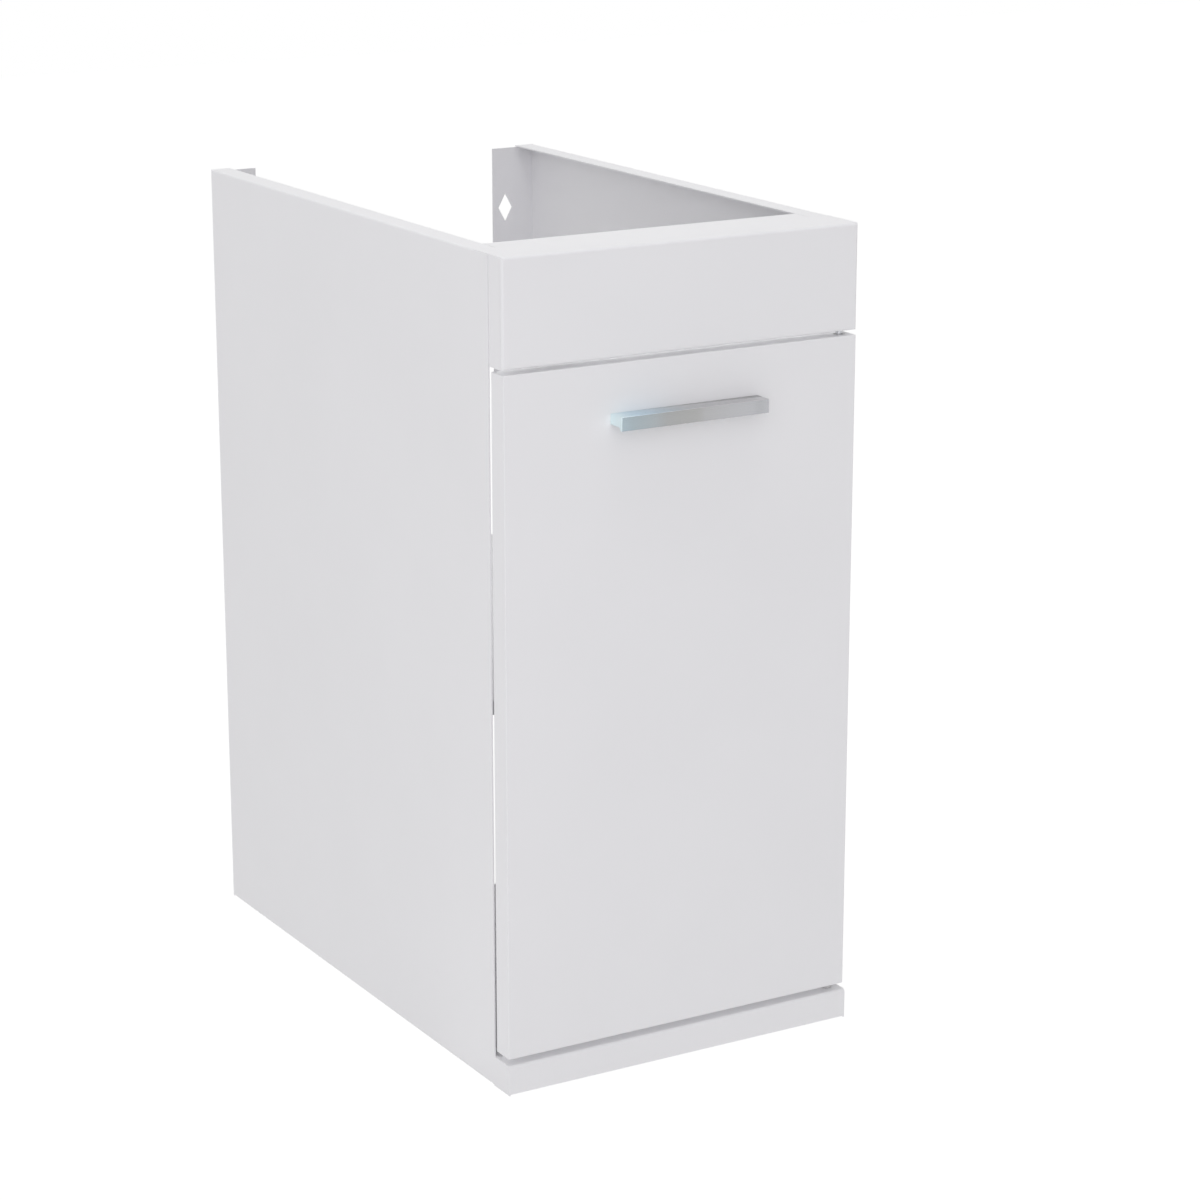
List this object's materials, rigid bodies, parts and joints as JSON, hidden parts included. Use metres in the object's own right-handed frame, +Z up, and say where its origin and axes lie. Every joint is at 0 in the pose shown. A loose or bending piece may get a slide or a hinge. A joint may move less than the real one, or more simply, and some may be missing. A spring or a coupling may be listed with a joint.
{
  "type": "bathroom vanity cabinet",
  "caption": "Narrow, deep wall-hung washbasin cabinet in white sheet steel, open at the top and back, with a fixed fascia, an inner shelf and a side-hung door with a bar handle.",
  "frame": {"origin": "centre of the footprint (the box of the whole cabinet, handle included) on the plane of its bottom edges", "axes": "+Z up, +Y towards the wall behind the cabinet, -Y out through the door, +X to the right of a person facing the door"},
  "size_m": [0.3, 0.5056, 0.627],
  "materials": {
    "white_steel": "white satin powder coat over zinc-plated sheet",
    "white_lacquer": "white satin lacquer on a board core",
    "chrome": "polished chrome plate",
    "zinc_steel": "bright zinc plate",
    "nylon_white": "fine moulded texture",
    "ferrite": "sintered, unpolished"
  },
  "bodies": {
    "cabinet": {"side_panel_left": "white_steel", "side_panel_right": "white_steel", "bottom_panel": "white_steel", "fascia_cover": "white_steel", "fascia_end_left": "white_steel", "fascia_end_right": "white_steel", "fascia_screws": "zinc_steel", "fascia_nuts": "zinc_steel", "shelf": "white_steel", "shelf_brackets": "white_steel", "top_pivot_plate": "zinc_steel", "top_pivot_screw": "zinc_steel", "bottom_pivot_plate": "zinc_steel", "bottom_pivot_pin": "zinc_steel", "pivot_washer": "nylon_white", "catch_body": "nylon_white", "catch_poles": "zinc_steel", "catch_magnet": "ferrite", "catch_screws": "zinc_steel"},
    "door": {"door_panel": "white_lacquer", "door_bush_top": "nylon_white", "door_bush_bottom": "nylon_white", "strike_plate": "zinc_steel", "strike_screws": "zinc_steel", "handle": "chrome", "handle_screws": "zinc_steel"}
  },
  "joints": [
    {"name": "door_hinge", "type": "hinge", "parent": "cabinet", "child": "door", "pos_m": [0.14, -0.22755, 0.2858], "axis": [0, 0, 1], "range_deg": [0, 110]}
  ]
}
